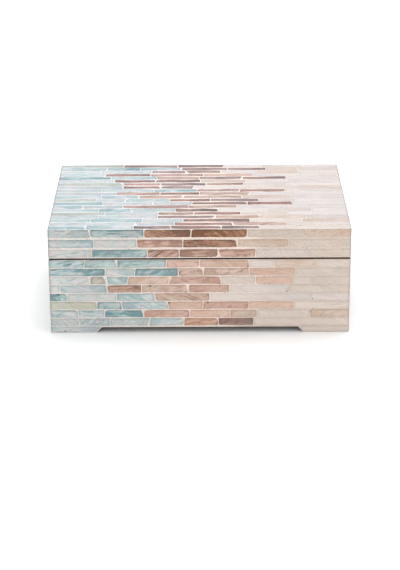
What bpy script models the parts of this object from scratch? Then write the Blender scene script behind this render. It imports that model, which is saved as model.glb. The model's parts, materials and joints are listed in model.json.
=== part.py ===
"""Lidded keepsake box of stained wood, clad all round with short strips of mother of pearl set in grout.

X runs along the front, Y from the front to the back, and Z up. The origin is on the table, under the middle of
the box. Every size is in metres. The strips and the grout that they sit in are one solid on the base and one on
the lid. The lid lifts off, and a thin lip inside the base's rim keeps it in place.
"""

import math
import random

import bmesh
import bpy
from mathutils import Matrix, Vector

# Outside of the closed box, over the faces of the shell
BOX_LENGTH = 0.280
BOX_DEPTH = 0.190
BASE_HEIGHT = 0.0740
LID_HEIGHT = 0.0293
RIM_GAP = 0.0003

# Wood
LID_WALL = 0.0060
LID_BOARD = 0.0070
LIP_WALL = 0.0025
LIP_HEIGHT = 0.0040
LIP_CLEARANCE = 0.0005
FLOOR_BOARD = 0.0060
FLOOR_RAISE = 0.0070

# Bracket feet: length along each wall at the table, height, and how far each inner end leans on its way up
FOOT_LENGTH = 0.0424
FOOT_HEIGHT = 0.0056
FOOT_LEAN = 0.0056

# Shell strips and grout
GLUE_GAP = 0.0003
GROUT_BED = 0.0015
STRIP_RELIEF = 0.0003
SEAM_SETBACK = 0.0003
EDGE_GROUT = 0.0007
FOOT_GROUT = 0.0008
STRIP_LENGTH = 0.0440
STRIP_LEAST = 0.0015
END_JOINT = 0.0013
BASE_PITCH = 0.00835
BASE_JOINT = 0.00105
LID_PITCH = 0.0098
LID_JOINT = 0.0023
TOP_PITCH = 0.0095
TOP_JOINT = 0.0015

# Where the front's courses are broken, from the top course down, as shares of the course from its left end
LID_FRONT_BREAKS = (
    (0.140, 0.317, 0.472, 0.657, 0.850),
    (0.151, 0.294, 0.445, 0.625, 0.793),
    (0.144, 0.328, 0.433, 0.561, 0.685, 0.862),
)
BASE_FRONT_BREAKS = (
    (0.119, 0.227, 0.390, 0.500, 0.664, 0.749, 0.883),
    (0.187, 0.285, 0.429, 0.513, 0.664, 0.817),
    (0.136, 0.190, 0.261, 0.399, 0.570, 0.685, 0.808, 0.874),
    (0.036, 0.191, 0.307, 0.463, 0.599, 0.794),
    (0.058, 0.223, 0.350, 0.534, 0.870),
    (0.157, 0.240, 0.394, 0.511, 0.664, 0.814),
    (0.093, 0.182, 0.313, 0.467, 0.601, 0.692, 0.867),
    (0.095, 0.199, 0.332, 0.447, 0.562, 0.680),
)

# Where the blue, the brown and the cream shell meet in each course of the top, from the back to the front
TOP_MEETINGS = (
    (0.227, 0.588), (0.433, 0.740), (0.329, 0.576), (0.165, 0.691), (0.350, 0.807),
    (0.198, 0.504), (0.233, 0.656), (0.233, 0.479), (0.492, 0.797), (0.211, 0.677),
    (0.290, 0.646), (0.398, 0.703), (0.475, 0.817), (0.240, 0.628), (0.418, 0.563),
    (0.361, 0.639), (0.360, 0.701), (0.445, 0.668), (0.417, 0.788), (0.282, 0.698),
)
# The same on the back, where the two meetings of a course wander between these shares
BACK_MEETINGS = ((0.20, 0.46), (0.56, 0.80))

# Worked out from the sizes above
HALF_LENGTH = BOX_LENGTH / 2
HALF_DEPTH = BOX_DEPTH / 2
LID_BOTTOM = BASE_HEIGHT + RIM_GAP
BOX_TOP = LID_BOTTOM + LID_HEIGHT
BED_INSET = STRIP_RELIEF
BED_BACK = BED_INSET + GROUT_BED
WOOD_INSET = BED_BACK + GLUE_GAP
LIP_OUTSIDE = WOOD_INSET + LID_WALL + LIP_CLEARANCE
HOLLOW_INSET = LIP_OUTSIDE + LIP_WALL
FLOOR_TOP = FLOOR_RAISE + FLOOR_BOARD
STRIP_SINK = STRIP_RELIEF + GROUT_BED / 2
OVERRUN = 0.01


def clear_scene():
    for old in list(bpy.data.objects):
        bpy.data.objects.remove(old, do_unlink=True)


def material(name, colour, roughness):
    made = bpy.data.materials.new(name)
    made.use_nodes = True
    shader = made.node_tree.nodes["Principled BSDF"]
    shader.inputs["Base Color"].default_value = (*colour, 1.0)
    shader.inputs["Roughness"].default_value = roughness
    shader.inputs["Metallic"].default_value = 0.0
    return made


def object_from(bm, name):
    """Turns a finished bmesh into a linked object whose faces point outwards."""
    bmesh.ops.recalc_face_normals(bm, faces=bm.faces)
    mesh = bpy.data.meshes.new(name)
    bm.to_mesh(mesh)
    bm.free()
    made = bpy.data.objects.new(name, mesh)
    bpy.context.collection.objects.link(made)
    return made


def add_box(bm, low, high, frame=Matrix()):
    """Adds a box between two corners, given in a frame's own coordinates."""
    low = Vector(low)
    high = Vector(high)
    size = high - low
    place = frame @ Matrix.Translation((low + high) / 2) @ Matrix.Diagonal((*size, 1.0))
    bmesh.ops.create_cube(bm, size=1.0, matrix=place)


def centred_box(name, inset, bottom, top):
    """A box over the middle of the table, set in from the outside of the shell on all four sides."""
    bm = bmesh.new()
    low = (inset - HALF_LENGTH, inset - HALF_DEPTH, bottom)
    high = (HALF_LENGTH - inset, HALF_DEPTH - inset, top)
    add_box(bm, low, high)
    return object_from(bm, name)


def foot_gap(name, half_wall, reach, turn, grow):
    """A bar under two walls that cuts the gap between their feet, with sides that lean as the feet do.

    grow makes the bar larger on its top and sides, measured square to them.
    """
    lean = FOOT_LEAN / FOOT_HEIGHT
    half = half_wall - FOOT_LENGTH + grow * math.hypot(1.0, lean)
    bottom = -OVERRUN
    top = FOOT_HEIGHT + grow
    corners = (
        (-half + lean * bottom, bottom),
        (half - lean * bottom, bottom),
        (half - lean * top, top),
        (-half + lean * top, top),
    )
    bm = bmesh.new()
    ring = [bm.verts.new((across, -reach, height)) for across, height in corners]
    end = bm.faces.new(ring)
    moved = bmesh.ops.extrude_face_region(bm, geom=[end])["geom"]
    far_end = [part for part in moved if isinstance(part, bmesh.types.BMVert)]
    bmesh.ops.translate(bm, verts=far_end, vec=(0.0, 2 * reach, 0.0))
    bmesh.ops.rotate(bm, verts=bm.verts, cent=(0.0, 0.0, 0.0), matrix=Matrix.Rotation(turn, 3, "Z"))
    return object_from(bm, name)


def foot_gaps(name, grow=0.0):
    """The two bars, one through the front and back walls and one through the side walls."""
    front = foot_gap(name + "_front", HALF_LENGTH, HALF_DEPTH + OVERRUN, 0.0, grow)
    side = foot_gap(name + "_side", HALF_DEPTH, HALF_LENGTH + OVERRUN, math.pi / 2, grow)
    return front, side


def combine(target, tool, operation):
    """Adds or cuts with a tool object, which is then kept out of the model."""
    step = target.modifiers.new(operation.lower() + "_" + tool.name, "BOOLEAN")
    step.operation = operation
    step.solver = "EXACT"
    step.object = tool
    tool.hide_render = True
    tool.display_type = "WIRE"


def panel(corner, right, down):
    """The frame of a wall's face: X along its courses, Y down it and Z out of it, from its top left corner."""
    right = Vector(right)
    down = Vector(down)
    turn = Matrix((right, down, down.cross(right))).transposed().to_4x4()
    return Matrix.Translation(corner) @ turn


def courses(height, pitch, joint):
    """Top and bottom of each course of strips on a face, from its top down."""
    found = []
    top = EDGE_GROUT
    lowest = height - EDGE_GROUT
    while top + STRIP_LEAST < lowest:
        found.append((top, min(top + pitch - joint, lowest)))
        top += pitch
    return found


def running_breaks(chance, length):
    """Breaks in a plain course: a cut first strip, then strips of about the usual length."""
    breaks = []
    at = STRIP_LENGTH * chance.uniform(0.45, 1.05)
    while at < length - STRIP_LENGTH * 0.4:
        breaks.append(at / length)
        at += STRIP_LENGTH * chance.uniform(0.8, 1.25)
    return breaks


def filled_breaks(chance, meetings, length):
    """Breaks where the colours of shell meet, and others that share out each stretch between them."""
    breaks = list(meetings)
    for start, end in zip((0.0, *meetings), (*meetings, 1.0)):
        count = max(1, round((end - start) * length / STRIP_LENGTH))
        step = (end - start) / count
        for place in range(1, count):
            breaks.append(start + step * (place + chance.uniform(-0.18, 0.18)))
    return sorted(breaks)


def add_course(bm, frame, length, top, bottom, breaks):
    """Adds one course of strips, each sunk into the grout behind it."""
    starts = [EDGE_GROUT] + [share * length + END_JOINT / 2 for share in breaks]
    ends = [share * length - END_JOINT / 2 for share in breaks] + [length - EDGE_GROUT]
    for start, end in zip(starts, ends):
        if end - start > STRIP_LEAST:
            add_box(bm, (start, top, -STRIP_SINK), (end, bottom, 0.0), frame)


def breaks_for(face, rows, length):
    """Breaks of every course of a face, by name."""
    chance = random.Random(face)
    drawn = {"lid_front": LID_FRONT_BREAKS, "base_front": BASE_FRONT_BREAKS}.get(face, ())
    found = []
    for row in range(rows):
        if row < len(drawn):
            found.append(drawn[row])
        elif face == "lid_top" and row < len(TOP_MEETINGS):
            found.append(filled_breaks(chance, TOP_MEETINGS[row], length))
        elif face.endswith("back"):
            meetings = [chance.uniform(*span) for span in BACK_MEETINGS]
            found.append(filled_breaks(chance, meetings, length))
        else:
            found.append(running_breaks(chance, length))
    return found


def add_wall_strips(bm, part, top, bottom, pitch, joint):
    """Adds the strips on all four sides of the base or the lid."""
    walls = (
        ("front", (-HALF_LENGTH, -HALF_DEPTH), (1, 0, 0), BOX_LENGTH),
        ("right", (HALF_LENGTH, -HALF_DEPTH), (0, 1, 0), BOX_DEPTH),
        ("back", (HALF_LENGTH, HALF_DEPTH), (-1, 0, 0), BOX_LENGTH),
        ("left", (-HALF_LENGTH, HALF_DEPTH), (0, -1, 0), BOX_DEPTH),
    )
    rows = courses(top - bottom, pitch, joint)
    for side, corner, right, length in walls:
        frame = panel((*corner, top), right, (0, 0, -1))
        breaks = breaks_for(part + "_" + side, len(rows), length)
        for (upper, lower), own in zip(rows, breaks):
            on_foot = top - lower < FOOT_HEIGHT + FOOT_GROUT
            add_course(bm, frame, length, upper, lower, () if on_foot else own)


def base_carcass():
    """Four walls on bracket feet, a raised floor board, and a lip inside the rim."""
    made = centred_box("base_carcass", WOOD_INSET, 0.0, BASE_HEIGHT)
    lip = centred_box("lip_block", LIP_OUTSIDE, FLOOR_TOP, BASE_HEIGHT + LIP_HEIGHT)
    combine(made, lip, "UNION")
    hollow = centred_box("base_hollow", HOLLOW_INSET, FLOOR_TOP, BASE_HEIGHT + LIP_HEIGHT + OVERRUN)
    combine(made, hollow, "DIFFERENCE")
    recess = centred_box("floor_recess", HOLLOW_INSET, -OVERRUN, FLOOR_RAISE)
    combine(made, recess, "DIFFERENCE")
    for gap in foot_gaps("wood_gap"):
        combine(made, gap, "DIFFERENCE")
    made.data.materials.append(material("stained wood", (0.045, 0.028, 0.020), 0.55))
    return made


def lid_carcass():
    """A top board with four short walls that stand on the base's rim, round its lip."""
    made = centred_box("lid_carcass", WOOD_INSET, LID_BOTTOM, BOX_TOP - WOOD_INSET)
    ceiling = BOX_TOP - WOOD_INSET - LID_BOARD
    hollow = centred_box("lid_hollow", WOOD_INSET + LID_WALL, LID_BOTTOM - OVERRUN, ceiling)
    combine(made, hollow, "DIFFERENCE")
    made.data.materials.append(material("stained wood of the lid", (0.045, 0.028, 0.020), 0.55))
    return made


def base_inlay():
    """Grout round the base's four walls, down to the feet, with its courses of strips."""
    top = BASE_HEIGHT - SEAM_SETBACK
    bm = bmesh.new()
    add_wall_strips(bm, "base", top, GLUE_GAP, BASE_PITCH, BASE_JOINT)
    strips = object_from(bm, "base_strips")
    for gap in foot_gaps("strip_gap", FOOT_GROUT):
        combine(strips, gap, "DIFFERENCE")
    made = centred_box("base_inlay", BED_INSET, GLUE_GAP, top)
    inside = centred_box("base_bed_inside", BED_BACK, -OVERRUN, top + OVERRUN)
    combine(made, inside, "DIFFERENCE")
    for gap in foot_gaps("grout_gap"):
        combine(made, gap, "DIFFERENCE")
    combine(made, strips, "UNION")
    made.data.materials.append(material("shell strips of the base", (0.66, 0.60, 0.56), 0.25))
    return made


def lid_inlay():
    """Grout over the lid's top and down its four sides, with its courses of strips."""
    bottom = LID_BOTTOM + SEAM_SETBACK
    bm = bmesh.new()
    add_wall_strips(bm, "lid", BOX_TOP, bottom, LID_PITCH, LID_JOINT)
    frame = panel((-HALF_LENGTH, HALF_DEPTH, BOX_TOP), (1, 0, 0), (0, -1, 0))
    rows = courses(BOX_DEPTH, TOP_PITCH, TOP_JOINT)
    for (back, front), breaks in zip(rows, breaks_for("lid_top", len(rows), BOX_LENGTH)):
        add_course(bm, frame, BOX_LENGTH, back, front, breaks)
    strips = object_from(bm, "lid_strips")
    made = centred_box("lid_inlay", BED_INSET, bottom, BOX_TOP - BED_INSET)
    inside = centred_box("lid_bed_inside", BED_BACK, bottom - OVERRUN, BOX_TOP - BED_BACK)
    combine(made, inside, "DIFFERENCE")
    combine(made, strips, "UNION")
    made.data.materials.append(material("shell strips of the lid", (0.70, 0.64, 0.61), 0.25))
    return made


def main():
    clear_scene()
    base_carcass()
    lid_carcass()
    base_inlay()
    lid_inlay()


main()
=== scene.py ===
import json
import math
import random

import bmesh
import bpy
from mathutils import Matrix, Vector

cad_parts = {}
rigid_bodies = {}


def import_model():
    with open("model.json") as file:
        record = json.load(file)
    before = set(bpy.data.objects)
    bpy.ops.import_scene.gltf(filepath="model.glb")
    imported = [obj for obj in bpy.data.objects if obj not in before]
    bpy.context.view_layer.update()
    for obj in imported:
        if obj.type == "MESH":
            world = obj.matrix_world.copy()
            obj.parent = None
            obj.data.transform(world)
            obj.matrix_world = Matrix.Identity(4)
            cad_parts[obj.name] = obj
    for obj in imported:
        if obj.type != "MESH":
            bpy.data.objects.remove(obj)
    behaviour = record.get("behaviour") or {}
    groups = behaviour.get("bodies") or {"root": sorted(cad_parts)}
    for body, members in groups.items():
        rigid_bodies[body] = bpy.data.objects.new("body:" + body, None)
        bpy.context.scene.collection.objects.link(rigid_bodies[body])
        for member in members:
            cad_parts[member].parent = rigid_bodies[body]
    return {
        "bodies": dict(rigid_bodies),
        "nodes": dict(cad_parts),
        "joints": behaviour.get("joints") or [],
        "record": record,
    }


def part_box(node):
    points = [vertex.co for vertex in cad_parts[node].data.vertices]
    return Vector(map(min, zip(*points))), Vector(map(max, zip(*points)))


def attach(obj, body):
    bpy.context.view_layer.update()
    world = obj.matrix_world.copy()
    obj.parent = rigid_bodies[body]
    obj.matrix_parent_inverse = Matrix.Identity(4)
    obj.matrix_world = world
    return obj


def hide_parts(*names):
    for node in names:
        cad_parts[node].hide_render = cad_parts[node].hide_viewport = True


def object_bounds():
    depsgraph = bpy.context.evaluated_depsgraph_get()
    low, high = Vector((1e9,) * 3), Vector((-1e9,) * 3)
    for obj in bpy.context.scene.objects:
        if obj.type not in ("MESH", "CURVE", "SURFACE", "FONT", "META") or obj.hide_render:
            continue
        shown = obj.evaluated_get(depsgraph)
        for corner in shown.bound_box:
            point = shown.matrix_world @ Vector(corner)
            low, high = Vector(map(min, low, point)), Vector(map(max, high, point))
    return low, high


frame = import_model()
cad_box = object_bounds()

MM = 0.001

# The box's outside, and where the inlay of the base and of the lid starts and ends, all from the frame
HALF_LENGTH = cad_box[1][0]
HALF_DEPTH = cad_box[1][1]
BASE_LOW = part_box("base_inlay")[0][2]
BASE_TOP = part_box("base_inlay")[1][2]
LID_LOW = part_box("lid_inlay")[0][2]
LID_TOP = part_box("lid_inlay")[1][2]

# Feet, as in the wood behind them
FOOT_LENGTH = 42.4 * MM
FOOT_HEIGHT = 5.6 * MM
FOOT_LEAN = 1.0

# Grout: its thickness, how far its outer edges are eased, and how far it stops short of the seam
GROUT_BED = 1.5 * MM
GROUT_EDGE = 0.35 * MM
GROUT_EDGE_STEPS = 2
SEAM_SHRINK = 0.35 * MM
SEAM_REACH = 0.1 * MM

# Strips and the joints between them
STRIP_RELIEF = 0.3 * MM
STRIP_SINK = 1.0 * MM
STRIP_LENGTH = 44.0 * MM
STRIP_LEAST = 1.5 * MM
END_JOINT = 1.0 * MM
EDGE_GROUT = 0.7 * MM
FOOT_GROUT = 0.8 * MM
BASE_PITCH = 8.35 * MM
BASE_JOINT = 1.05 * MM
LID_PITCH = 9.8 * MM
LID_JOINT = 2.3 * MM
TOP_PITCH = 9.5 * MM
TOP_JOINT = 1.5 * MM

# How far hand sawing and laying strays from the drawn layout. The top is laid rougher than the sides. The
# points along a strip's long edges wander so far into the strip, or out of it where negative, and each whole
# edge is set in by so much. A face lies lower by the drop, so that none stands out of the box when it tilts.
END_SLANT = 0.9 * MM
FACE_TILT = 0.04 * MM
FACE_DROP = 2.2 * FACE_TILT
EDGE_WANDER = {
    "side": (-0.28 * MM, 0.28 * MM),
    "top blue": (-0.5 * MM, 1.0 * MM),
    "top brown": (-0.5 * MM, 1.5 * MM),
    "top cream": (-0.4 * MM, 0.5 * MM),
}
EDGE_INSET = {
    "side": (0.0, 0.1 * MM),
    "top blue": (0.0, 0.1 * MM),
    "top brown": (0.0, 0.3 * MM),
    "top cream": (0.0, 0.1 * MM),
}
TAPER_CHANCE = {"side": 0.18, "top": 0.35}
TAPER_MOST = {"side": 2.5 * MM, "top": 3.2 * MM}
EDGE_CUTS = 2

# Corners of a strip, sharp to round, and how many of each there are. On a small strip a taper takes no more
# than a fifth of the length, and a corner no more than a quarter of the length or two fifths of the width.
CORNER_RADII = (0.35 * MM, 0.8 * MM, 2.2 * MM)
CORNER_SHARES = (0.6, 0.27, 0.13)
CORNER_STEPS = 2
LENGTHS_PER_TAPER = 5
LENGTHS_PER_CORNER = 4
WIDTHS_PER_CORNER = 2.5
# The eased rim round a strip's face
RIM_WIDTH = 0.22 * MM
RIM_DROP = 0.1 * MM

# The front's courses from the top one down, as shares of the course from its left end: where it is broken,
# and where its colours meet
LID_FRONT_COURSES = (
    ((0.140, 0.317, 0.472, 0.657, 0.850), (0.317, 0.657)),
    ((0.151, 0.294, 0.445, 0.625, 0.793), (0.294, 0.625)),
    ((0.144, 0.328, 0.433, 0.561, 0.685, 0.862), (0.328, 0.685)),
)
BASE_FRONT_COURSES = (
    ((0.119, 0.227, 0.390, 0.500, 0.664, 0.749, 0.883), (0.390, 0.664)),
    ((0.187, 0.285, 0.429, 0.513, 0.664, 0.817), (0.429, 0.817)),
    ((0.136, 0.190, 0.261, 0.399, 0.570, 0.685, 0.808, 0.874), (0.261, 0.570, 0.685, 0.808)),
    ((0.036, 0.191, 0.307, 0.463, 0.599, 0.794), (0.191, 0.599)),
    ((0.058, 0.223, 0.350, 0.534, 0.870), (0.350, 0.534)),
    ((0.157, 0.240, 0.394, 0.511, 0.664, 0.814), (0.394, 0.814)),
    ((0.093, 0.182, 0.313, 0.467, 0.601, 0.692, 0.867), (0.313, 0.601)),
    ((0.095, 0.199, 0.332, 0.447, 0.562, 0.680), (0.447, 0.680)),
)
# The two meetings of colour in each course of the top, from the back to the front
TOP_MEETINGS = (
    (0.227, 0.588), (0.433, 0.740), (0.329, 0.576), (0.165, 0.691), (0.350, 0.807),
    (0.198, 0.504), (0.233, 0.656), (0.233, 0.479), (0.492, 0.797), (0.211, 0.677),
    (0.290, 0.646), (0.398, 0.703), (0.475, 0.817), (0.240, 0.628), (0.418, 0.563),
    (0.361, 0.639), (0.360, 0.701), (0.445, 0.668), (0.417, 0.788), (0.282, 0.698),
)
# The same on the back, where the two meetings of a course wander between these shares
BACK_MEETINGS = ((0.20, 0.46), (0.56, 0.80))
# The meetings in a course of one colour, and in the lowest course, which lies on the feet alone
MIDDLE_MEETINGS = (0.5, 0.5)

# Plain courses, in usual strip lengths: the first strip, the others, and the least left for the last
FIRST_STRIP = (0.45, 1.05)
OTHER_STRIPS = (0.8, 1.25)
LAST_STRIP = 0.4
# How far a break between two meetings strays, as a share of the strip
BREAK_STRAY = 0.18

# Colours in their order along a course: at the front and on the top, and along the back from the other side
FRONT_ORDER = ("blue", "brown", "cream", "brown", "cream")
BACK_ORDER = ("cream", "brown", "blue")

# Kinds of shell in each colour of the box: ground, figure, strength of the figure, dark veins, pale veins,
# and its share among the strips of the lid's sides, of the base's sides and of the top
SHELL_KINDS = {
    "blue": (
        ("#C5CACB", "#8FA8AF", 0.9, 0.6, 0.5, (4, 5, 4)),
        ("#CACACA", "#A5B0B3", 0.8, 0.5, 0.5, (4, 4, 7)),
        ("#B2C2C3", "#5C8490", 0.9, 0.4, 0.6, (2, 3, 1)),
        ("#BEBDB4", "#A1A193", 0.8, 0.3, 0.2, (1, 2, 1)),
        ("#AEB1B9", "#858A9B", 0.9, 0.4, 0.5, (0, 1, 0)),
    ),
    "brown": (
        ("#A67C6B", "#5E3A2F", 0.9, 0.6, 0.4, (2, 0, 7)),
        ("#AA775C", "#6B412F", 1.0, 0.6, 0.7, (2, 0, 1)),
        ("#BD9F93", "#8C6A60", 0.9, 1.0, 0.7, (4, 3, 5)),
        ("#A48A86", "#70524F", 0.9, 0.7, 0.5, (0, 1, 4)),
        ("#CAAEA3", "#B08A7F", 0.8, 0.6, 0.3, (0, 4, 2)),
        ("#CFB4A7", "#BC9B8B", 0.7, 0.5, 0.3, (1, 4, 2)),
        ("#CCB5AA", "#A5877A", 0.8, 1.0, 0.7, (4, 3, 3)),
        ("#C8A492", "#A87E68", 0.8, 0.6, 0.3, (2, 2, 2)),
        ("#B07F70", "#6B4038", 0.9, 0.5, 0.4, (0, 0, 4)),
    ),
    "cream": (
        ("#CFC3BC", "#BDB0A8", 0.5, 0.2, 0.2, (6, 5, 5)),
        ("#D2C8C4", "#BCB3B1", 0.5, 0.1, 0.2, (3, 4, 5)),
        ("#CCBBB0", "#B79E8E", 0.7, 0.4, 0.3, (1, 1, 2)),
    ),
}
# How strong the play of colour is in each colour of shell
PLAY = {"blue": 0.85, "brown": 0.4, "cream": 0.25}
# Factors on red, green and blue for shell whose look isn't as on the base: on the lid a tone of its own, on the
# top painted light; and how far each strip's tone strays
TONES_AND_TOP_LIGHT = {
    "lid blue": (0.91, 0.91, 0.91),
    "lid brown": (1.04, 1.03, 1.03),
    "lid cream": (0.98, 0.96, 0.95),
    # The top's factors are painted light: they stand in for how light and sheen on the top change the look of
    # the same shell
    "top blue": (0.96, 0.98, 0.99),
    "top brown": (0.96, 0.81, 0.73),
    "top cream": (1.05, 1.03, 1.0),
}
NO_TINT = (1.0, 1.0, 1.0)
TONE_STRAY = 0.06
# How strongly a strip's figure gathers at its ends
END_FIGURE = {"side": 1.0, "top": 1.9}
# The shares of its kind's figure, dark veins and darkened edges that a strip gets. The darkened edges are
# partly the thin edge and glue, and partly painted shade.
FIGURE_SPAN = (0.6, 1.1)
VEIN_SPAN = (0.2, 1.1)
THIN_EDGE_AND_SHADE_SPAN = (0.5, 1.1)
# Grit in the lacquer, and chips near a strip's edges. A strip without a chip has it a metre away.
SPECKS = {"lid cream": 1.0, "lid": 0.35, "base": 0.1, "top": 0.0}
SPECK_SPAN = (0.5, 1.0)
VOID_CHANCE = {"blue": 0.2, "brown": 0.2, "cream": 0.05}
VOID_INSET = 0.7 * MM
VOID_REACH = (0.5 * MM, 1.2 * MM)
NO_VOID = (-1.0, -1.0)
# How far the growth lines turn from the strip's length, and how far apart strips lie in the patterns' noise
STEEPEST_GRAIN = math.radians(42)
USUAL_GRAIN = math.radians(8)
SEED_SPREAD = 90.0

# Sizes of the shell's patterns along and across its growth lines, and their step from strip to strip
CLOUDS = (13 * MM, 4 * MM, 1.0)
STREAKS = (14 * MM, 1.2 * MM, 1.0)
GROWTH_LINES = (30 * MM, 0.5 * MM, 1.0)
DARK_VEINS = (22 * MM, 5 * MM, 2.0)
PALE_VEINS = (20 * MM, 3.5 * MM, 3.0)
PALE_VEIN_TURN = 0.5
COLOUR_DRIFT = (13 * MM, 5 * MM, 1.3)
EDGE_OUTLINE_WANDER = (4 * MM, 4 * MM, 1.0)
GRIT = (1.7 * MM, 1.7 * MM, 1.0)
FILM_NANOMETRES = 430.0
# The play of colour in nacre: faint blue, green, olive, grey, violet and pink
ORIENT = (
    (0.32, "#95AFBE"), (0.42, "#A8BAB7"), (0.47, "#BEBCAB"), (0.51, "#BDBBBA"), (0.56, "#B9B6C2"),
    (0.62, "#C5B3B9"), (0.68, "#C9A8A6"),
)
# How far the darkening of a strip reaches in from its top, bottom and ends, how dark it is there, and how far
# its outline strays. The darkening is partly the thin edge and glue, and partly painted shade, strongest along
# the top.
THIN_EDGE_AND_SHADE_TOP = (2.0 * MM, 0.85)
THIN_EDGE_AND_SHADE_BOTTOM = (1.1 * MM, 0.45)
THIN_EDGE_AND_SHADE_ENDS = (2.2 * MM, 0.7)
EDGE_OUTLINE_STRAY = 1.2 * MM

# Grout: where along the box it turns warm and then pale, how far that strays, and its stains, sand and
# bubbles
GROUT_WARM = (-30 * MM, 40 * MM)
GROUT_PALE = (75 * MM, 125 * MM)
GROUT_STRAY = 100 * MM
GROUT_DRIFT = 35 * MM
GROUT_STAINS = 8 * MM
GROUT_SAND = 1.0 * MM
BUBBLE_SPACING = 3.2 * MM
# The grout on the lid's top is painted paler, as painted light from above, from so far below its surface, and
# the grout is darker at the box's ends from so far in
TOP_GROUT_LIT_FROM = (2 * MM, 1 * MM)
ENDS_DARKER_FROM = (1.7 * MM, 0.7 * MM)

# Wood: growth rings and pores along and across the grain, and the tooth of the floor's paper
WOOD_RINGS = (60 * MM, 2.2 * MM, 2.2 * MM)
WOOD_PORES = (6 * MM, 0.35 * MM, 0.35 * MM)
PAPER_TOOTH = 4 * MM

# Camera fitted to the photograph's view, and the long side of its frame
CAMERA_PLACE = (0.0011, -1.6106, 0.6616)
CAMERA_PITCH = math.radians(22.04)
CAMERA_YAW = math.radians(0.03)
CAMERA_ROLL = math.radians(-0.25)
FOCAL_PIXELS = 1758.0
LONG_SIDE_PIXELS = 570
SENSOR_MM = 36.0

# Soft boxes: place, target, side and watts
SOFT_BOXES = {
    "front_soft_box": ((-0.6, -2.4, 1.15), (0, 0, 0.05), 1.2, 2.5),
    "low_soft_box": ((0.6, -2.4, 0.45), (0, 0, 0.05), 0.8, 1.5),
    "top_soft_box": ((0.2, 0.5, 2.4), (0, 0, 0.1), 1.8, 26.5),
}
SURROUNDINGS = 1.0
FLOOR_HALF = 8.0


def linear(code):
    """A colour from its sRGB hex code, as linear red, green and blue with alpha."""
    shares = [int(code[start:start + 2], 16) / 255 for start in (1, 3, 5)]
    light = [share / 12.92 if share <= 0.04045 else ((share + 0.055) / 1.055) ** 2.4 for share in shares]
    return (*light, 1.0)


def add(tree, kind, inputs, **settings):
    """Adds a node with its settings. An input takes a plain value, a socket, or a node's first output."""
    node = tree.nodes.new("ShaderNode" + kind)
    for name, value in settings.items():
        setattr(node, name, value)
    for key, value in inputs.items():
        matching = [socket for socket in node.inputs if socket.enabled and socket.name == key]
        socket = matching[0] if matching else node.inputs[key]
        if isinstance(value, bpy.types.Node):
            value = next(output for output in value.outputs if output.enabled)
        if isinstance(value, bpy.types.NodeSocket):
            tree.links.new(value, socket)
        else:
            socket.default_value = value
    return node


def new_material(name):
    """A new material with its node tree and its shader."""
    made = bpy.data.materials.new(name)
    made.use_nodes = True
    return made, made.node_tree, made.node_tree.nodes["Principled BSDF"]


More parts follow.
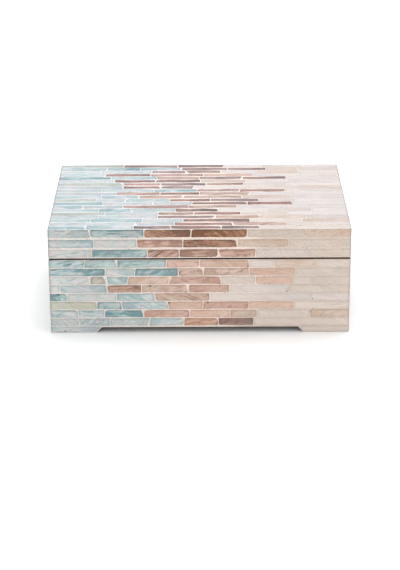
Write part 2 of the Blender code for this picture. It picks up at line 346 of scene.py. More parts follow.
def shell_colour_nodes(tree, grain, place, size):
    """Ground and figure of each strip: faded at an end, and clouded, streaked and veined along its growth."""
    ground = add(tree, "Attribute", {}, attribute_name="shell_ground")
    figure = add(tree, "Attribute", {}, attribute_name="shell_figure")
    amounts = add(tree, "Attribute", {}, attribute_name="shell_amounts")
    amount = add(tree, "SeparateXYZ", {"Vector": amounts.outputs["Vector"]})
    fades = add(tree, "Attribute", {}, attribute_name="shell_fades")
    fade = add(tree, "SeparateXYZ", {"Vector": fades.outputs["Vector"]})

    share = add(tree, "Math", {0: place.outputs["X"], 1: size.outputs["X"]}, operation="DIVIDE")
    left = add(tree, "MapRange", {"Value": share, "From Min": 0.5, "From Max": 0.0},
               interpolation_type="SMOOTHSTEP")
    left = add(tree, "Math", {0: left, 1: fade.outputs["X"]}, operation="MULTIPLY")
    right = add(tree, "MapRange", {"Value": share, "From Min": 0.5, "From Max": 1.0},
                interpolation_type="SMOOTHSTEP")
    right = add(tree, "Math", {0: right, 1: fade.outputs["Y"], 2: left}, operation="MULTIPLY_ADD")

    broad = add(tree, "Mapping", {"Vector": grain, "Scale": CLOUDS}, vector_type="TEXTURE")
    broad = add(tree, "TexNoise", {"Vector": broad, "Scale": 1.0, "Detail": 3.0, "Distortion": 0.9})
    clouds = add(tree, "Math", {0: right, 1: 0.36, 2: broad}, operation="MULTIPLY_ADD")
    clouds = add(tree, "MapRange", {"Value": clouds, "From Min": 0.41, "From Max": 0.62},
                 interpolation_type="SMOOTHSTEP")
    thin = add(tree, "Mapping", {"Vector": grain, "Scale": STREAKS}, vector_type="TEXTURE")
    thin = add(tree, "TexNoise", {"Vector": thin, "Scale": 1.0, "Detail": 5.0, "Distortion": 0.5})
    streaks = add(tree, "MapRange", {"Value": thin, "From Min": 0.45, "From Max": 0.66, "To Max": 0.9},
                  interpolation_type="SMOOTHSTEP")
    both = add(tree, "Math", {0: clouds, 1: streaks}, operation="MAXIMUM")
    both = add(tree, "Math", {0: both, 1: amount.outputs["X"]}, operation="MULTIPLY")
    colour = add(tree, "Mix", {"Factor": both, "A": ground, "B": figure}, data_type="RGBA")

    # Growth lines, finer than a tenth of a millimetre on the real shell and drawn at half a millimetre
    fine = add(tree, "Mapping", {"Vector": grain, "Scale": GROWTH_LINES}, vector_type="TEXTURE")
    fine = add(tree, "TexNoise", {"Vector": fine, "Scale": 1.0, "Detail": 2.0})
    lines = add(tree, "MapRange", {"Value": fine, "From Min": 0.3, "From Max": 0.7,
                                   "To Min": 0.9, "To Max": 1.09})
    colour = add(tree, "VectorMath", {0: colour, 1: lines}, operation="MULTIPLY")

    # Veins, where a slow noise crosses its middle value
    dark = add(tree, "Mix", {"Factor": 0.6, "A": figure, "B": figure}, data_type="RGBA",
               blend_type="MULTIPLY")
    bend = add(tree, "Mapping", {"Vector": grain, "Scale": DARK_VEINS}, vector_type="TEXTURE")
    bend = add(tree, "TexNoise", {"Vector": bend, "Scale": 1.0, "Detail": 1.0, "Distortion": 0.9})
    off = add(tree, "Math", {0: bend, 1: 0.5}, operation="SUBTRACT")
    off = add(tree, "Math", {0: off}, operation="ABSOLUTE")
    vein = add(tree, "MapRange", {"Value": off, "From Min": 0.004, "From Max": 0.05,
                                  "To Min": 1.0, "To Max": 0.0}, interpolation_type="SMOOTHSTEP")
    vein = add(tree, "Math", {0: vein, 1: amount.outputs["Y"]}, operation="MULTIPLY")
    colour = add(tree, "Mix", {"Factor": vein, "A": colour, "B": dark}, data_type="RGBA")
    curl = add(tree, "Mapping", {"Vector": grain, "Scale": PALE_VEINS, "Rotation": (0, 0, PALE_VEIN_TURN)},
               vector_type="TEXTURE")
    curl = add(tree, "TexNoise", {"Vector": curl, "Scale": 1.0, "Detail": 0.5, "Distortion": 0.7})
    off = add(tree, "Math", {0: curl, 1: 0.5}, operation="SUBTRACT")
    off = add(tree, "Math", {0: off}, operation="ABSOLUTE")
    pale = add(tree, "MapRange", {"Value": off, "From Min": 0.003, "From Max": 0.022,
                                  "To Min": 0.9, "To Max": 0.0}, interpolation_type="SMOOTHSTEP")
    pale = add(tree, "Math", {0: pale, 1: amount.outputs["Z"]}, operation="MULTIPLY")
    milky = add(tree, "Mix", {"Factor": 0.5, "A": ground, "B": linear("#E8E0DA")}, data_type="RGBA")
    colour = add(tree, "Mix", {"Factor": pale, "A": colour, "B": milky}, data_type="RGBA")
    return colour, dark, both, thin


def orient_nodes(tree, grain, colour):
    """The play of colour in nacre: faint blue, green, olive and pink that drift over each strip."""
    drift = add(tree, "Mapping", {"Vector": grain, "Scale": COLOUR_DRIFT}, vector_type="TEXTURE")
    drift = add(tree, "TexNoise", {"Vector": drift, "Scale": 1.0, "Detail": 2.0, "Distortion": 0.6})
    play = add(tree, "ValToRGB", {"Fac": drift})
    ramp = play.color_ramp
    for element, (stop, code) in zip(ramp.elements, (ORIENT[0], ORIENT[-1])):
        element.position = stop
        element.color = linear(code)
    for stop, code in ORIENT[1:-1]:
        ramp.elements.new(stop).color = linear(code)
    amount = add(tree, "Attribute", {}, attribute_name="shell_play").outputs["Fac"]
    return add(tree, "Mix", {"Factor": amount, "A": colour, "B": play}, data_type="RGBA",
               blend_type="SOFT_LIGHT")


def thin_edge_and_shade_nodes(tree, colour, dark, on_strip, place, size):
    """Darker edges, partly where saw and file left a strip thin and glue shows, and partly painted shade, most
    along its top; with chips and caught grit.
    """
    wander = add(tree, "Mapping", {"Vector": on_strip, "Scale": EDGE_OUTLINE_WANDER}, vector_type="TEXTURE")
    wander = add(tree, "TexNoise", {"Vector": wander, "Scale": 1.0, "Detail": 2.0})
    wander = add(tree, "Math", {0: wander, 1: 2 * EDGE_OUTLINE_STRAY, 2: -EDGE_OUTLINE_STRAY}, operation="MULTIPLY_ADD")
    from_end = add(tree, "Math", {0: size.outputs["X"], 1: place.outputs["X"]}, operation="SUBTRACT")
    from_top = add(tree, "Math", {0: size.outputs["Y"], 1: place.outputs["Y"]}, operation="SUBTRACT")
    ends = add(tree, "Math", {0: from_end, 1: place.outputs["X"]}, operation="MINIMUM")
    shade = None
    # Painted shade, together with the thin edge and glue: each edge darkens towards the figure's dark colour,
    # the top most
    sides = ((from_top, *THIN_EDGE_AND_SHADE_TOP), (place.outputs["Y"], *THIN_EDGE_AND_SHADE_BOTTOM), (ends, *THIN_EDGE_AND_SHADE_ENDS))
    for distance, reach, depth in sides:
        thin_and_shaded = add(tree, "Math", {0: distance, 1: wander}, operation="ADD")
        thin_and_shaded = add(tree, "MapRange", {"Value": thin_and_shaded, "From Min": 0.0, "From Max": reach,
                                      "To Min": depth, "To Max": 0.0}, interpolation_type="SMOOTHSTEP")
        shade = add(tree, "Math", {0: thin_and_shaded, 1: shade}, operation="MAXIMUM") if shade else thin_and_shaded
    shade = add(tree, "Math", {0: shade, 1: size.outputs["Z"]}, operation="MULTIPLY")
    colour = add(tree, "Mix", {"Factor": shade, "A": colour, "B": dark}, data_type="RGBA")

    # Chips out of a corner or an edge, and grit caught in the lacquer. A speck of grit is a tenth of a
    # millimetre across, which would be lost, and is drawn at over half a millimetre.
    void = add(tree, "Attribute", {}, attribute_name="strip_void")
    void = add(tree, "VectorMath", {0: on_strip, 1: void.outputs["Vector"]}, operation="DISTANCE")
    void = add(tree, "Math", {0: void.outputs["Value"], 1: wander}, operation="ADD")
    void = add(tree, "MapRange", {"Value": void, "From Min": VOID_REACH[0], "From Max": VOID_REACH[1],
                                  "To Min": 0.9, "To Max": 0.0})
    colour = add(tree, "Mix", {"Factor": void, "A": colour, "B": linear("#3A302B")}, data_type="RGBA")
    fades = add(tree, "Attribute", {}, attribute_name="shell_fades")
    amount = add(tree, "SeparateXYZ", {"Vector": fades.outputs["Vector"]})
    speck = add(tree, "Mapping", {"Vector": on_strip, "Scale": GRIT}, vector_type="TEXTURE")
    speck = add(tree, "TexVoronoi", {"Vector": speck, "Scale": 1.0})
    speck = add(tree, "MapRange", {"Value": speck.outputs["Distance"], "From Min": 0.1, "From Max": 0.3,
                                   "To Min": 0.6, "To Max": 0.0})
    speck = add(tree, "Math", {0: speck, 1: amount.outputs["Z"]}, operation="MULTIPLY")
    return add(tree, "Mix", {"Factor": speck, "A": colour, "B": linear("#6B5B52")}, data_type="RGBA")


def shell_material():
    """Mother of pearl, sawn, glued, sanded flush and lacquered: clouded and lustrous under a clear gloss."""
    made, tree, shader = new_material("lacquered mother of pearl")
    grain = add(tree, "Attribute", {}, attribute_name="shell_grain").outputs["Vector"]
    on_strip = add(tree, "Attribute", {}, attribute_name="strip_place").outputs["Vector"]
    measured = add(tree, "Attribute", {}, attribute_name="strip_size").outputs["Vector"]
    place = add(tree, "SeparateXYZ", {"Vector": on_strip})
    size = add(tree, "SeparateXYZ", {"Vector": measured})
    colour, dark, figured, thin = shell_colour_nodes(tree, grain, place, size)
    colour = orient_nodes(tree, grain, colour)
    colour = thin_edge_and_shade_nodes(tree, colour, dark, on_strip, place, size)
    tree.links.new(colour.outputs[2], shader.inputs["Base Color"])
    rough = add(tree, "MapRange", {"Value": figured, "To Min": 0.26, "To Max": 0.38})
    tree.links.new(rough.outputs["Result"], shader.inputs["Roughness"])
    shader.inputs["IOR"].default_value = 1.53
    shader.inputs["Coat Weight"].default_value = 0.3
    shader.inputs["Coat Roughness"].default_value = 0.1
    shader.inputs["Coat IOR"].default_value = 1.5
    shader.inputs["Thin Film Thickness"].default_value = FILM_NANOMETRES
    shader.inputs["Thin Film IOR"].default_value = 1.4
    bump = add(tree, "Bump", {"Strength": 0.3, "Distance": 0.04 * MM, "Height": thin})
    tree.links.new(bump.outputs["Normal"], shader.inputs["Normal"])
    return made


def grout_material():
    """Fine cement grout, wiped flush: sandy and matt, warmer between brown strips than between blue ones."""
    made, tree, shader = new_material("fine cement grout")
    where = add(tree, "TexCoord", {}).outputs["Object"]
    along = add(tree, "SeparateXYZ", {"Vector": where})
    slow = add(tree, "TexNoise", {"Vector": where, "Scale": 1 / GROUT_DRIFT, "Detail": 2.0})
    wander = add(tree, "Math", {0: slow, 1: GROUT_STRAY, 2: along}, operation="MULTIPLY_ADD")
    warm = add(tree, "MapRange", {"Value": wander, "From Min": GROUT_WARM[0], "From Max": GROUT_WARM[1]},
               interpolation_type="SMOOTHSTEP")
    colour = add(tree, "Mix", {"Factor": warm, "A": linear("#DBD7D2"), "B": linear("#EADBD0")},
                 data_type="RGBA")
    pale = add(tree, "MapRange", {"Value": wander, "From Min": GROUT_PALE[0], "From Max": GROUT_PALE[1]},
               interpolation_type="SMOOTHSTEP")
    colour = add(tree, "Mix", {"Factor": pale, "A": colour, "B": linear("#CEC0B5")}, data_type="RGBA")
    patchy = add(tree, "TexNoise", {"Vector": where, "Scale": 1 / GROUT_STAINS, "Detail": 3.0})
    stain = add(tree, "MapRange", {"Value": patchy, "From Min": 0.45, "From Max": 0.7, "To Max": 0.5})
    colour = add(tree, "Mix", {"Factor": stain, "A": colour, "B": linear("#D8C1B4")}, data_type="RGBA")
    # The grout on the top is painted paler: painted light falling on the top from above
    lit_top_grout = add(tree, "Mix", {"Factor": warm, "A": linear("#DCE1E2"), "B": linear("#E5DDD9")},
                data_type="RGBA")
    lit_top_grout = add(tree, "Mix", {"Factor": pale, "A": lit_top_grout, "B": linear("#DCD3CD")}, data_type="RGBA")
    high = add(tree, "MapRange", {"Value": along.outputs["Z"], "From Min": LID_TOP - TOP_GROUT_LIT_FROM[0],
                                  "From Max": LID_TOP - TOP_GROUT_LIT_FROM[1], "To Max": 0.75})
    colour = add(tree, "Mix", {"Factor": high, "A": colour, "B": lit_top_grout}, data_type="RGBA")
    # The sand is finer than a tenth of a millimetre and is drawn at a millimetre
    sand = add(tree, "TexNoise", {"Vector": where, "Scale": 1 / GROUT_SAND, "Detail": 3.0})
    gritty = add(tree, "MapRange", {"Value": sand, "From Min": 0.45, "From Max": 0.7, "To Max": 0.55})
    colour = add(tree, "Mix", {"Factor": gritty, "A": colour, "B": linear("#B3A092")}, data_type="RGBA")
    # The grout is darker at and near the box's two ends
    from_middle = add(tree, "Math", {0: along}, operation="ABSOLUTE")
    rim = add(tree, "MapRange", {"Value": from_middle, "From Min": HALF_LENGTH - ENDS_DARKER_FROM[0],
                                 "From Max": HALF_LENGTH - ENDS_DARKER_FROM[1], "To Max": 0.9})
    colour = add(tree, "Mix", {"Factor": rim, "A": colour, "B": linear("#957F77")}, data_type="RGBA")
    # Air bubbles left open by sanding, under half a millimetre and drawn at under a millimetre
    holes = add(tree, "TexVoronoi", {"Vector": where, "Scale": 1 / BUBBLE_SPACING})
    hole = add(tree, "MapRange", {"Value": holes.outputs["Distance"], "From Min": 0.09, "From Max": 0.17,
                                  "To Min": 0.85, "To Max": 0.0})
    colour = add(tree, "Mix", {"Factor": hole, "A": colour, "B": linear("#5C4A40")}, data_type="RGBA")
    tree.links.new(colour.outputs[2], shader.inputs["Base Color"])
    shader.inputs["Roughness"].default_value = 0.6
    bump = add(tree, "Bump", {"Strength": 0.5, "Distance": 0.08 * MM, "Height": sand})
    tree.links.new(bump.outputs["Normal"], shader.inputs["Normal"])
    return made


def wood_material():
    """Close-grained hardwood, stained nearly black and wiped: a dark satin face with short fine pores."""
    made, tree, shader = new_material("dark stained hardwood")
    where = add(tree, "TexCoord", {}).outputs["Object"]
    long_way = add(tree, "Mapping", {"Vector": where, "Scale": WOOD_RINGS}, vector_type="TEXTURE")
    grain = add(tree, "TexNoise", {"Vector": long_way, "Scale": 1.0, "Detail": 4.0, "Distortion": 0.4})
    colour = add(tree, "ValToRGB", {"Fac": grain})
    colour.color_ramp.elements[0].position = 0.35
    colour.color_ramp.elements[0].color = linear("#2B1E18")
    colour.color_ramp.elements[1].position = 0.68
    colour.color_ramp.elements[1].color = linear("#4B362B")
    # Pores, a tenth of a millimetre across in such wood and drawn at about a third of a millimetre
    pore_way = add(tree, "Mapping", {"Vector": where, "Scale": WOOD_PORES}, vector_type="TEXTURE")
    pores = add(tree, "TexNoise", {"Vector": pore_way, "Scale": 1.0, "Detail": 2.0})
    pitted = add(tree, "MapRange", {"Value": pores, "From Min": 0.56, "From Max": 0.7, "To Max": 0.7})
    colour = add(tree, "Mix", {"Factor": pitted, "A": colour, "B": linear("#17100D")}, data_type="RGBA")
    tree.links.new(colour.outputs[2], shader.inputs["Base Color"])
    rough = add(tree, "MapRange", {"Value": grain, "To Min": 0.4, "To Max": 0.62})
    tree.links.new(rough.outputs["Result"], shader.inputs["Roughness"])
    bump = add(tree, "Bump", {"Strength": 0.4, "Distance": 0.1 * MM, "Height": pores})
    tree.links.new(bump.outputs["Normal"], shader.inputs["Normal"])
    return made


def floor_material():
    """Matt white paper, rolled out as a studio floor: it takes soft shadows and mirrors nothing."""
    made, tree, shader = new_material("matt white paper")
    where = add(tree, "TexCoord", {}).outputs["Object"]
    tooth = add(tree, "TexNoise", {"Vector": where, "Scale": 1 / PAPER_TOOTH, "Detail": 2.0})
    rough = add(tree, "MapRange", {"Value": tooth, "To Min": 0.85, "To Max": 0.95})
    tree.links.new(rough.outputs["Result"], shader.inputs["Roughness"])
    shader.inputs["Base Color"].default_value = linear("#FAFAFA")
    shader.inputs["Specular IOR Level"].default_value = 0.1
    return made


def piece_from(bm, name, material):
    """Turns a finished bmesh into an object in the scene, with its place in its mesh."""
    mesh = bpy.data.meshes.new(name)
    bm.to_mesh(mesh)
    bm.free()
    mesh.materials.append(material)
    made = bpy.data.objects.new(name, mesh)
    bpy.context.collection.objects.link(made)
    return made


def courses(height, pitch, joint):
    """Top and bottom of each course of strips on a face, measured down from its top."""
    found = []
    top = EDGE_GROUT
    lowest = height - EDGE_GROUT
    while top + STRIP_LEAST < lowest:
        found.append((top, min(top + pitch - joint, lowest)))
        top += pitch
    return found


def running_breaks(chance, length):
    """Breaks in a plain course: a cut first strip, then strips of about the usual length."""
    breaks = []
    at = STRIP_LENGTH * chance.uniform(*FIRST_STRIP)
    while at < length - STRIP_LENGTH * LAST_STRIP:
        breaks.append(at / length)
        at += STRIP_LENGTH * chance.uniform(*OTHER_STRIPS)
    return breaks


def filled_breaks(chance, meetings, length):
    """Breaks where the colours of shell meet, and others that share out each stretch between them."""
    breaks = list(meetings)
    for start, end in zip((0.0, *meetings), (*meetings, 1.0)):
        count = max(1, round((end - start) * length / STRIP_LENGTH))
        step = (end - start) / count
        for place in range(1, count):
            breaks.append(start + step * (place + chance.uniform(-BREAK_STRAY, BREAK_STRAY)))
    return sorted(breaks)


def course_plan(face, rows, length):
    """The breaks and the meetings of colour in every course of a face."""
    chance = random.Random(face)
    drawn = {"lid_front": LID_FRONT_COURSES, "base_front": BASE_FRONT_COURSES}.get(face, ())
    plan = []
    for row in range(rows):
        if row < len(drawn):
            plan.append(drawn[row])
        elif face == "lid_top" and row < len(TOP_MEETINGS):
            plan.append((filled_breaks(chance, TOP_MEETINGS[row], length), TOP_MEETINGS[row]))
        elif face.endswith("back"):
            meetings = [chance.uniform(*span) for span in BACK_MEETINGS]
            plan.append((filled_breaks(chance, meetings, length), meetings))
        else:
            plan.append((running_breaks(chance, length), MIDDLE_MEETINGS))
    return plan


def strip_colour(face, share, meetings):
    """Blue at the box's left, brown in its middle and cream at its right, seen from the front."""
    if face.endswith("left"):
        return "blue"
    if face.endswith("right"):
        return "cream"
    order = BACK_ORDER if face.endswith("back") else FRONT_ORDER
    return order[sum(share > meeting for meeting in meetings)]


def panel(corner, right, up):
    """The frame of a face: X along its courses, Y up it and Z out of it, from its top left corner."""
    right = Vector(right)
    up = Vector(up)
    return Matrix.Translation(corner) @ Matrix((right, up, right.cross(up))).transposed().to_4x4()


def cut_strip(chance, laid, colour, span, rows, leans):
    """One strip in its face's own frame: a slab with leaning ends, round corners and wandering edges.

    leans says how far the top of each end stands right of its middle.
    """
    start, end = span
    top, bottom = rows
    length = end - start
    width = bottom - top
    middle = Vector(((start + end) / 2, -(top + bottom) / 2, -STRIP_SINK / 2))
    bm = bmesh.new()
    shape = Matrix.Translation(middle) @ Matrix.Diagonal((length, width, STRIP_SINK, 1.0))
    bmesh.ops.create_cube(bm, size=1.0, matrix=shape)
    most = min(TAPER_MOST[laid], length / LENGTHS_PER_TAPER)
    tapers = [chance.random() ** 2 * most * (chance.random() < TAPER_CHANCE[laid]) for way in range(2)]
    tapered_low = [chance.random() < 0.5 for way in range(2)]
    way_laid = laid if laid == "side" else f"{laid} {colour}"
    insets = [chance.uniform(*EDGE_INSET[way_laid]) for way in range(2)]
    for vert in bm.verts:
        right = vert.co.x > middle.x
        low = vert.co.y < middle.y
        vert.co.x += -leans[right] if low else leans[right]
        vert.co.y += insets[0] if low else -insets[1]
        if tapered_low[right] == low:
            vert.co.x += -tapers[1] if right else tapers[0]
    corners = [vert.co.copy() for vert in bm.verts if vert.co.z > middle.z]
    for corner in corners:
        vert = min(bm.verts, key=lambda one: (one.co - corner).length)
        standing = [edge for edge in vert.link_edges
                    if abs(edge.other_vert(vert).co.z - vert.co.z) > STRIP_SINK / 2]
        radius = chance.choices(CORNER_RADII, CORNER_SHARES)[0]
        radius = min(radius, length / LENGTHS_PER_CORNER, width / WIDTHS_PER_CORNER)
        bmesh.ops.bevel(bm, geom=standing, offset=radius, segments=CORNER_STEPS, affect="EDGES", profile=0.5,
                        material=-1)
    # The long edges are cut into short ones, whose ends then wander
    lying = [edge for edge in bm.edges if abs(edge.verts[0].co.x - edge.verts[1].co.x) > length / 3]
    bmesh.ops.subdivide_edges(bm, edges=lying, cuts=EDGE_CUTS)
    wander = [chance.uniform(*EDGE_WANDER[way_laid]) for place in range(2 * EDGE_CUTS + 4)]
    for vert in bm.verts:
        place = round((vert.co.x - start) / length * (EDGE_CUTS + 1))
        place = max(0, min(EDGE_CUTS + 1, place))
        high = vert.co.y > middle.y
        vert.co.y += -wander[2 * place + high] if high else wander[2 * place + high]
    bm.normal_update()
    face = [part for part in bm.faces if part.normal.z > 0.9]
    rim = bmesh.ops.inset_region(bm, faces=face, thickness=RIM_WIDTH, use_boundary=True, use_even_offset=True)
    inner = {vert for part in face for vert in part.verts}
    outer = {vert for part in rim["faces"] for vert in part.verts} - inner
    tilt = [chance.uniform(-1, 1) * FACE_TILT for way in range(2)]
    for vert in inner | outer:
        share_along = 2 * (vert.co.x - middle.x) / length
        share_up = 2 * (vert.co.y - middle.y) / width
        vert.co.z += tilt[0] * share_along + tilt[1] * share_up - FACE_DROP
    for vert in outer:
        vert.co.z -= RIM_DROP
    return bm


class Laying:
    """A face of the box while it is laid: the strips so far, its frame, and its draws of cuts and shell."""

    def __init__(self, whole, scrap, face, frame):
        self.whole = whole
        self.scrap = scrap
        self.face = face
        self.frame = frame
        self.cuts = random.Random(face + " strips")
        self.shells = random.Random(face + " shell")
        self.laid = "top" if face == "lid_top" else "side"
        self.part = "top" if face == "lid_top" else face.split("_")[0]
        self.share_place = ("lid", "base", "top").index(self.part)


def draw_kind(laying, colour):
    """One kind of shell for a strip, by the kinds' shares on this face."""
    kinds = SHELL_KINDS[colour]
    return laying.shells.choices(kinds, [kind[-1][laying.share_place] for kind in kinds])[0]


def dye_strip(bm, laying, colour, start, bottom, length, width):
    """Writes on a strip what its material reads: its size, its kind of shell, and where each point lies.

    bottom is how far the strip's lower edge lies below the top of its face.
    """
    chance = laying.cuts
    ground, figure, strength, dark_veins, pale_veins = draw_kind(laying, colour)[:-1]
    light = 1 + chance.uniform(-1, 1) * TONE_STRAY
    # A strip's own tone, and on the top painted light
    tone_and_light = [light * part for part in TONES_AND_TOP_LIGHT.get(f"{laying.part} {colour}", NO_TINT)] + [1.0]
    turn = chance.choice((-1, 1)) * chance.triangular(0, STEEPEST_GRAIN, USUAL_GRAIN)
    seed = chance.random() * SEED_SPREAD
    gather = END_FIGURE[laying.laid]
    specks = SPECKS.get(f"{laying.part} {colour}", SPECKS[laying.part])
    corner = (chance.choice((VOID_INSET, length * chance.random(), length - VOID_INSET)),
              chance.choice((VOID_INSET, width - VOID_INSET)))
    void = corner if chance.random() < VOID_CHANCE[colour] else NO_VOID
    vectors = {
        "strip_size": (length, width, strength * chance.uniform(*THIN_EDGE_AND_SHADE_SPAN)),
        "shell_amounts": (strength * chance.uniform(*FIGURE_SPAN), dark_veins * chance.uniform(*VEIN_SPAN),
                          pale_veins * chance.random()),
        "shell_fades": (gather * chance.uniform(-1, 1), gather * chance.uniform(-1, 1),
                        specks * chance.uniform(*SPECK_SPAN)),
        "strip_void": (*void, seed),
    }
    colours = {
        "shell_ground": [part * factor for part, factor in zip(linear(ground), tone_and_light)],
        "shell_figure": [part * factor for part, factor in zip(linear(figure), tone_and_light)],
    }
    constants = {bm.verts.layers.float_vector.new(name): value for name, value in vectors.items()}
    constants.update({bm.verts.layers.float_color.new(name): value for name, value in colours.items()})
    constants[bm.verts.layers.float.new("shell_play")] = PLAY[colour]
    place = bm.verts.layers.float_vector.new("strip_place")
    grain = bm.verts.layers.float_vector.new("shell_grain")
    spin = Matrix.Rotation(-turn, 2)
    for vert in bm.verts:
        along = vert.co.x - start
        up = vert.co.y + bottom
        vert[place] = (along, up, seed)
        vert[grain] = (*(spin @ Vector((along, up))), seed)
        for layer, value in constants.items():
            vert[layer] = value


def lay_strip(laying, colour, span, rows, leans):
    """Cuts, dyes and places one strip, and adds it to the others of its part."""
    bm = cut_strip(laying.cuts, laying.laid, colour, span, rows, leans)
    dye_strip(bm, laying, colour, span[0], rows[1], span[1] - span[0], rows[1] - rows[0])
    bmesh.ops.transform(bm, matrix=laying.frame, verts=bm.verts)
    bm.to_mesh(laying.scrap)
    bm.free()
    laying.whole.from_mesh(laying.scrap)


def lay_course(laying, length, rows, plan):
    """One course from end to end. Two strips that meet share the lean of their joint."""
    breaks, meetings = plan
    starts = [EDGE_GROUT] + [share * length + END_JOINT / 2 for share in breaks]
    ends = [share * length - END_JOINT / 2 for share in breaks] + [length - EDGE_GROUT]
    leans = [0.0] + [laying.cuts.uniform(-1, 1) ** 3 * END_SLANT for share in breaks] + [0.0]
    for start, end, own_leans in zip(starts, ends, zip(leans, leans[1:])):
        if end - start > STRIP_LEAST:
            colour = strip_colour(laying.face, (start + end) / 2 / length, meetings)
            lay_strip(laying, colour, (start, end), rows, own_leans)


def lay_feet(laying, length, height, rows):
    """The lowest course, on the two feet of a wall, with inner ends that lean as the feet do."""
    middle = height - (rows[0] + rows[1]) / 2
    reach = FOOT_LENGTH - FOOT_GROUT * math.hypot(1.0, FOOT_LEAN) + middle * FOOT_LEAN
    lean = (rows[1] - rows[0]) / 2 * FOOT_LEAN
    left = ((EDGE_GROUT, reach), (0.0, lean))
    right = ((length - reach, length - EDGE_GROUT), (-lean, 0.0))
    for span, leans in (left, right):
        colour = strip_colour(laying.face, span[0] / length, MIDDLE_MEETINGS)
        lay_strip(laying, colour, span, rows, leans)


def lay_walls(whole, scrap, part, top, bottom, pitch, joint):
    """The strips on all four sides of the base or the lid."""
    walls = (
        ("front", (-HALF_LENGTH, -HALF_DEPTH), (1, 0, 0), 2 * HALF_LENGTH),
        ("right", (HALF_LENGTH, -HALF_DEPTH), (0, 1, 0), 2 * HALF_DEPTH),
        ("back", (HALF_LENGTH, HALF_DEPTH), (-1, 0, 0), 2 * HALF_LENGTH),
        ("left", (-HALF_LENGTH, HALF_DEPTH), (0, -1, 0), 2 * HALF_DEPTH),
    )
    rows = courses(top - bottom, pitch, joint)
    for side, corner, right, length in walls:
        face = part + "_" + side
        laying = Laying(whole, scrap, face, panel((*corner, top), right, (0, 0, 1)))
        for course, plan in zip(rows, course_plan(face, len(rows), length)):
            if top - course[1] < FOOT_HEIGHT + FOOT_GROUT:
                lay_feet(laying, length, top, course)
            else:
                lay_course(laying, length, course, plan)


def base_strips(material):
    """All strips of the base in one piece."""
    whole = bmesh.new()
    scrap = bpy.data.meshes.new("scrap")
    lay_walls(whole, scrap, "base", BASE_TOP, BASE_LOW, BASE_PITCH, BASE_JOINT)
    bpy.data.meshes.remove(scrap)
    return piece_from(whole, "base_shell_strips", material)


def lid_strips(material):
    """All strips of the lid's sides and of its top in one piece."""
    whole = bmesh.new()
    scrap = bpy.data.meshes.new("scrap")
    lay_walls(whole, scrap, "lid", LID_TOP, LID_LOW, LID_PITCH, LID_JOINT)
    length = 2 * HALF_LENGTH
    laying = Laying(whole, scrap, "lid_top", panel((-HALF_LENGTH, HALF_DEPTH, LID_TOP), (1, 0, 0), (0, 1, 0)))
    rows = courses(2 * HALF_DEPTH, TOP_PITCH, TOP_JOINT)
    for course, plan in zip(rows, course_plan("lid_top", len(rows), length)):
        lay_course(laying, length, course, plan)
    bpy.data.meshes.remove(scrap)
    return piece_from(whole, "lid_shell_strips", material)


def grout_shell(low, high, open_ends):
    """The grout's outer faces as an open shell, with the edges between them eased."""
    bm = bmesh.new()
    size = (2 * (HALF_LENGTH - STRIP_RELIEF), 2 * (HALF_DEPTH - STRIP_RELIEF), high - low)
    shape = Matrix.Translation((0, 0, (low + high) / 2)) @ Matrix.Diagonal((*size, 1.0))
    bmesh.ops.create_cube(bm, size=1.0, matrix=shape)
    bm.normal_update()
    opened = [face for face in bm.faces if round(face.normal.z) in open_ends]
    bmesh.ops.delete(bm, geom=opened, context="FACES_ONLY")
    shared = [edge for edge in bm.edges if len(edge.link_faces) == 2]
    bmesh.ops.bevel(bm, geom=shared, offset=GROUT_EDGE, segments=GROUT_EDGE_STEPS, affect="EDGES",
                    profile=0.5, material=-1)
    bm.normal_update()
    return bm


def thicken_grout(bm, name, materials, seam):
    """Gives the shell of grout its thickness, and gives its edge at the seam the dark wood's finish: a stained
    edge, and painted shade that darkens the seam.
    """
    bmesh.ops.recalc_face_normals(bm, faces=bm.faces)
    bmesh.ops.solidify(bm, geom=bm.faces[:], thickness=GROUT_BED)
    bmesh.ops.recalc_face_normals(bm, faces=bm.faces)
    # The faces at the seam take the dark wood: a stained edge, and painted shade in the seam's gap
    for face in bm.faces:
        if all(abs(vert.co.z - seam) < SEAM_REACH for vert in face.verts):
            face.material_index = 1
    made = piece_from(bm, name, materials[0])
    made.data.materials.append(materials[1])
    return made


def base_grout(materials):
    """A thin wall of grout round the base, cut away between the feet."""
    bm = grout_shell(BASE_LOW, BASE_TOP - SEAM_SHRINK, (-1, 1))
    bmesh.ops.bisect_plane(bm, geom=bm.verts[:] + bm.edges[:] + bm.faces[:], plane_co=(0, 0, FOOT_HEIGHT),
                           plane_no=(0, 0, 1))
    for axis, half in ((Vector((1, 0, 0)), HALF_LENGTH), (Vector((0, 1, 0)), HALF_DEPTH)):
        for side in (-1, 1):
            low = [face for face in bm.faces if face.calc_center_median().z < FOOT_HEIGHT
                   and abs(face.normal.dot(axis)) < 0.5]
            parts = set(low).union(*(face.verts for face in low), *(face.edges for face in low))
            bmesh.ops.bisect_plane(bm, geom=list(parts), plane_co=axis * side * (half - FOOT_LENGTH),
                                   plane_no=axis * side + Vector((0, 0, FOOT_LEAN)))
    gaps = []
    for face in bm.faces:
        middle = face.calc_center_median()
        along, half = (middle.x, HALF_LENGTH) if abs(face.normal.y) > 0.5 else (middle.y, HALF_DEPTH)
        if middle.z < FOOT_HEIGHT and abs(along) < half - FOOT_LENGTH - FOOT_LEAN * middle.z:
            gaps.append(face)
    bmesh.ops.delete(bm, geom=gaps, context="FACES")
    return thicken_grout(bm, "base_grout", materials, BASE_TOP - SEAM_SHRINK)


def lid_grout(materials):
    """A thin skin of grout over the lid's top and down its four sides."""
    bm = grout_shell(LID_LOW + SEAM_SHRINK, LID_TOP - STRIP_RELIEF, (-1,))
    return thicken_grout(bm, "lid_grout", materials, LID_LOW + SEAM_SHRINK)


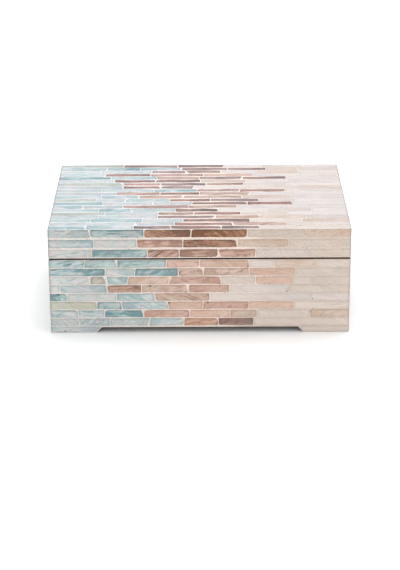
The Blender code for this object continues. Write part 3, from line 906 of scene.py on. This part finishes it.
def dress_box():
    """The four visible pieces, what each replaces and rides on, and the wood's own finish."""
    shell = shell_material()
    wood = wood_material()
    grout = (grout_material(), wood)
    pieces = (
        (base_strips(shell), "base_inlay", "mother_of_pearl"),
        (base_grout(grout), "base_inlay", "grout"),
        (lid_strips(shell), "lid_inlay", "mother_of_pearl"),
        (lid_grout(grout), "lid_inlay", "grout"),
    )
    for piece, node, slot in pieces:
        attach(piece, "root")
        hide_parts(node)
    for node in ("base_carcass", "lid_carcass"):
        for place in frame["nodes"][node].material_slots:
            place.material = wood


def set_camera():
    """The photograph's view: in front of the box, a little above it, through a long lens."""
    data = bpy.data.cameras.new("photo_view")
    data.sensor_width = SENSOR_MM
    data.lens = FOCAL_PIXELS / LONG_SIDE_PIXELS * SENSOR_MM
    made = bpy.data.objects.new("photo_view", data)
    turn = (Matrix.Rotation(CAMERA_YAW, 4, "Z") @ Matrix.Rotation(math.radians(90) - CAMERA_PITCH, 4, "X")
            @ Matrix.Rotation(CAMERA_ROLL, 4, "Z"))
    made.matrix_world = Matrix.Translation(CAMERA_PLACE) @ turn
    bpy.context.collection.objects.link(made)
    bpy.context.scene.camera = made


def soft_box(name, place, target, size, power):
    """A square area light turned towards a point."""
    data = bpy.data.lights.new(name, "AREA")
    data.shape = "SQUARE"
    data.size = size
    data.energy = power
    made = bpy.data.objects.new(name, data)
    away = Vector(place) - Vector(target)
    made.matrix_world = Matrix.Translation(place) @ away.to_track_quat("Z", "Y").to_matrix().to_4x4()
    bpy.context.collection.objects.link(made)


def set_stage():
    """A white floor, even white surroundings and three soft boxes."""
    bm = bmesh.new()
    bmesh.ops.create_grid(bm, x_segments=1, y_segments=1, size=FLOOR_HALF)
    piece_from(bm, "floor", floor_material())
    world = bpy.data.worlds.new("studio")
    world.use_nodes = True
    background = world.node_tree.nodes["Background"]
    background.inputs["Color"].default_value = linear("#FFFFFF")
    background.inputs["Strength"].default_value = SURROUNDINGS
    bpy.context.scene.world = world
    for name, settings in SOFT_BOXES.items():
        soft_box(name, *settings)
    bpy.context.scene.view_settings.view_transform = "Standard"


set_camera()
set_stage()
dress_box()
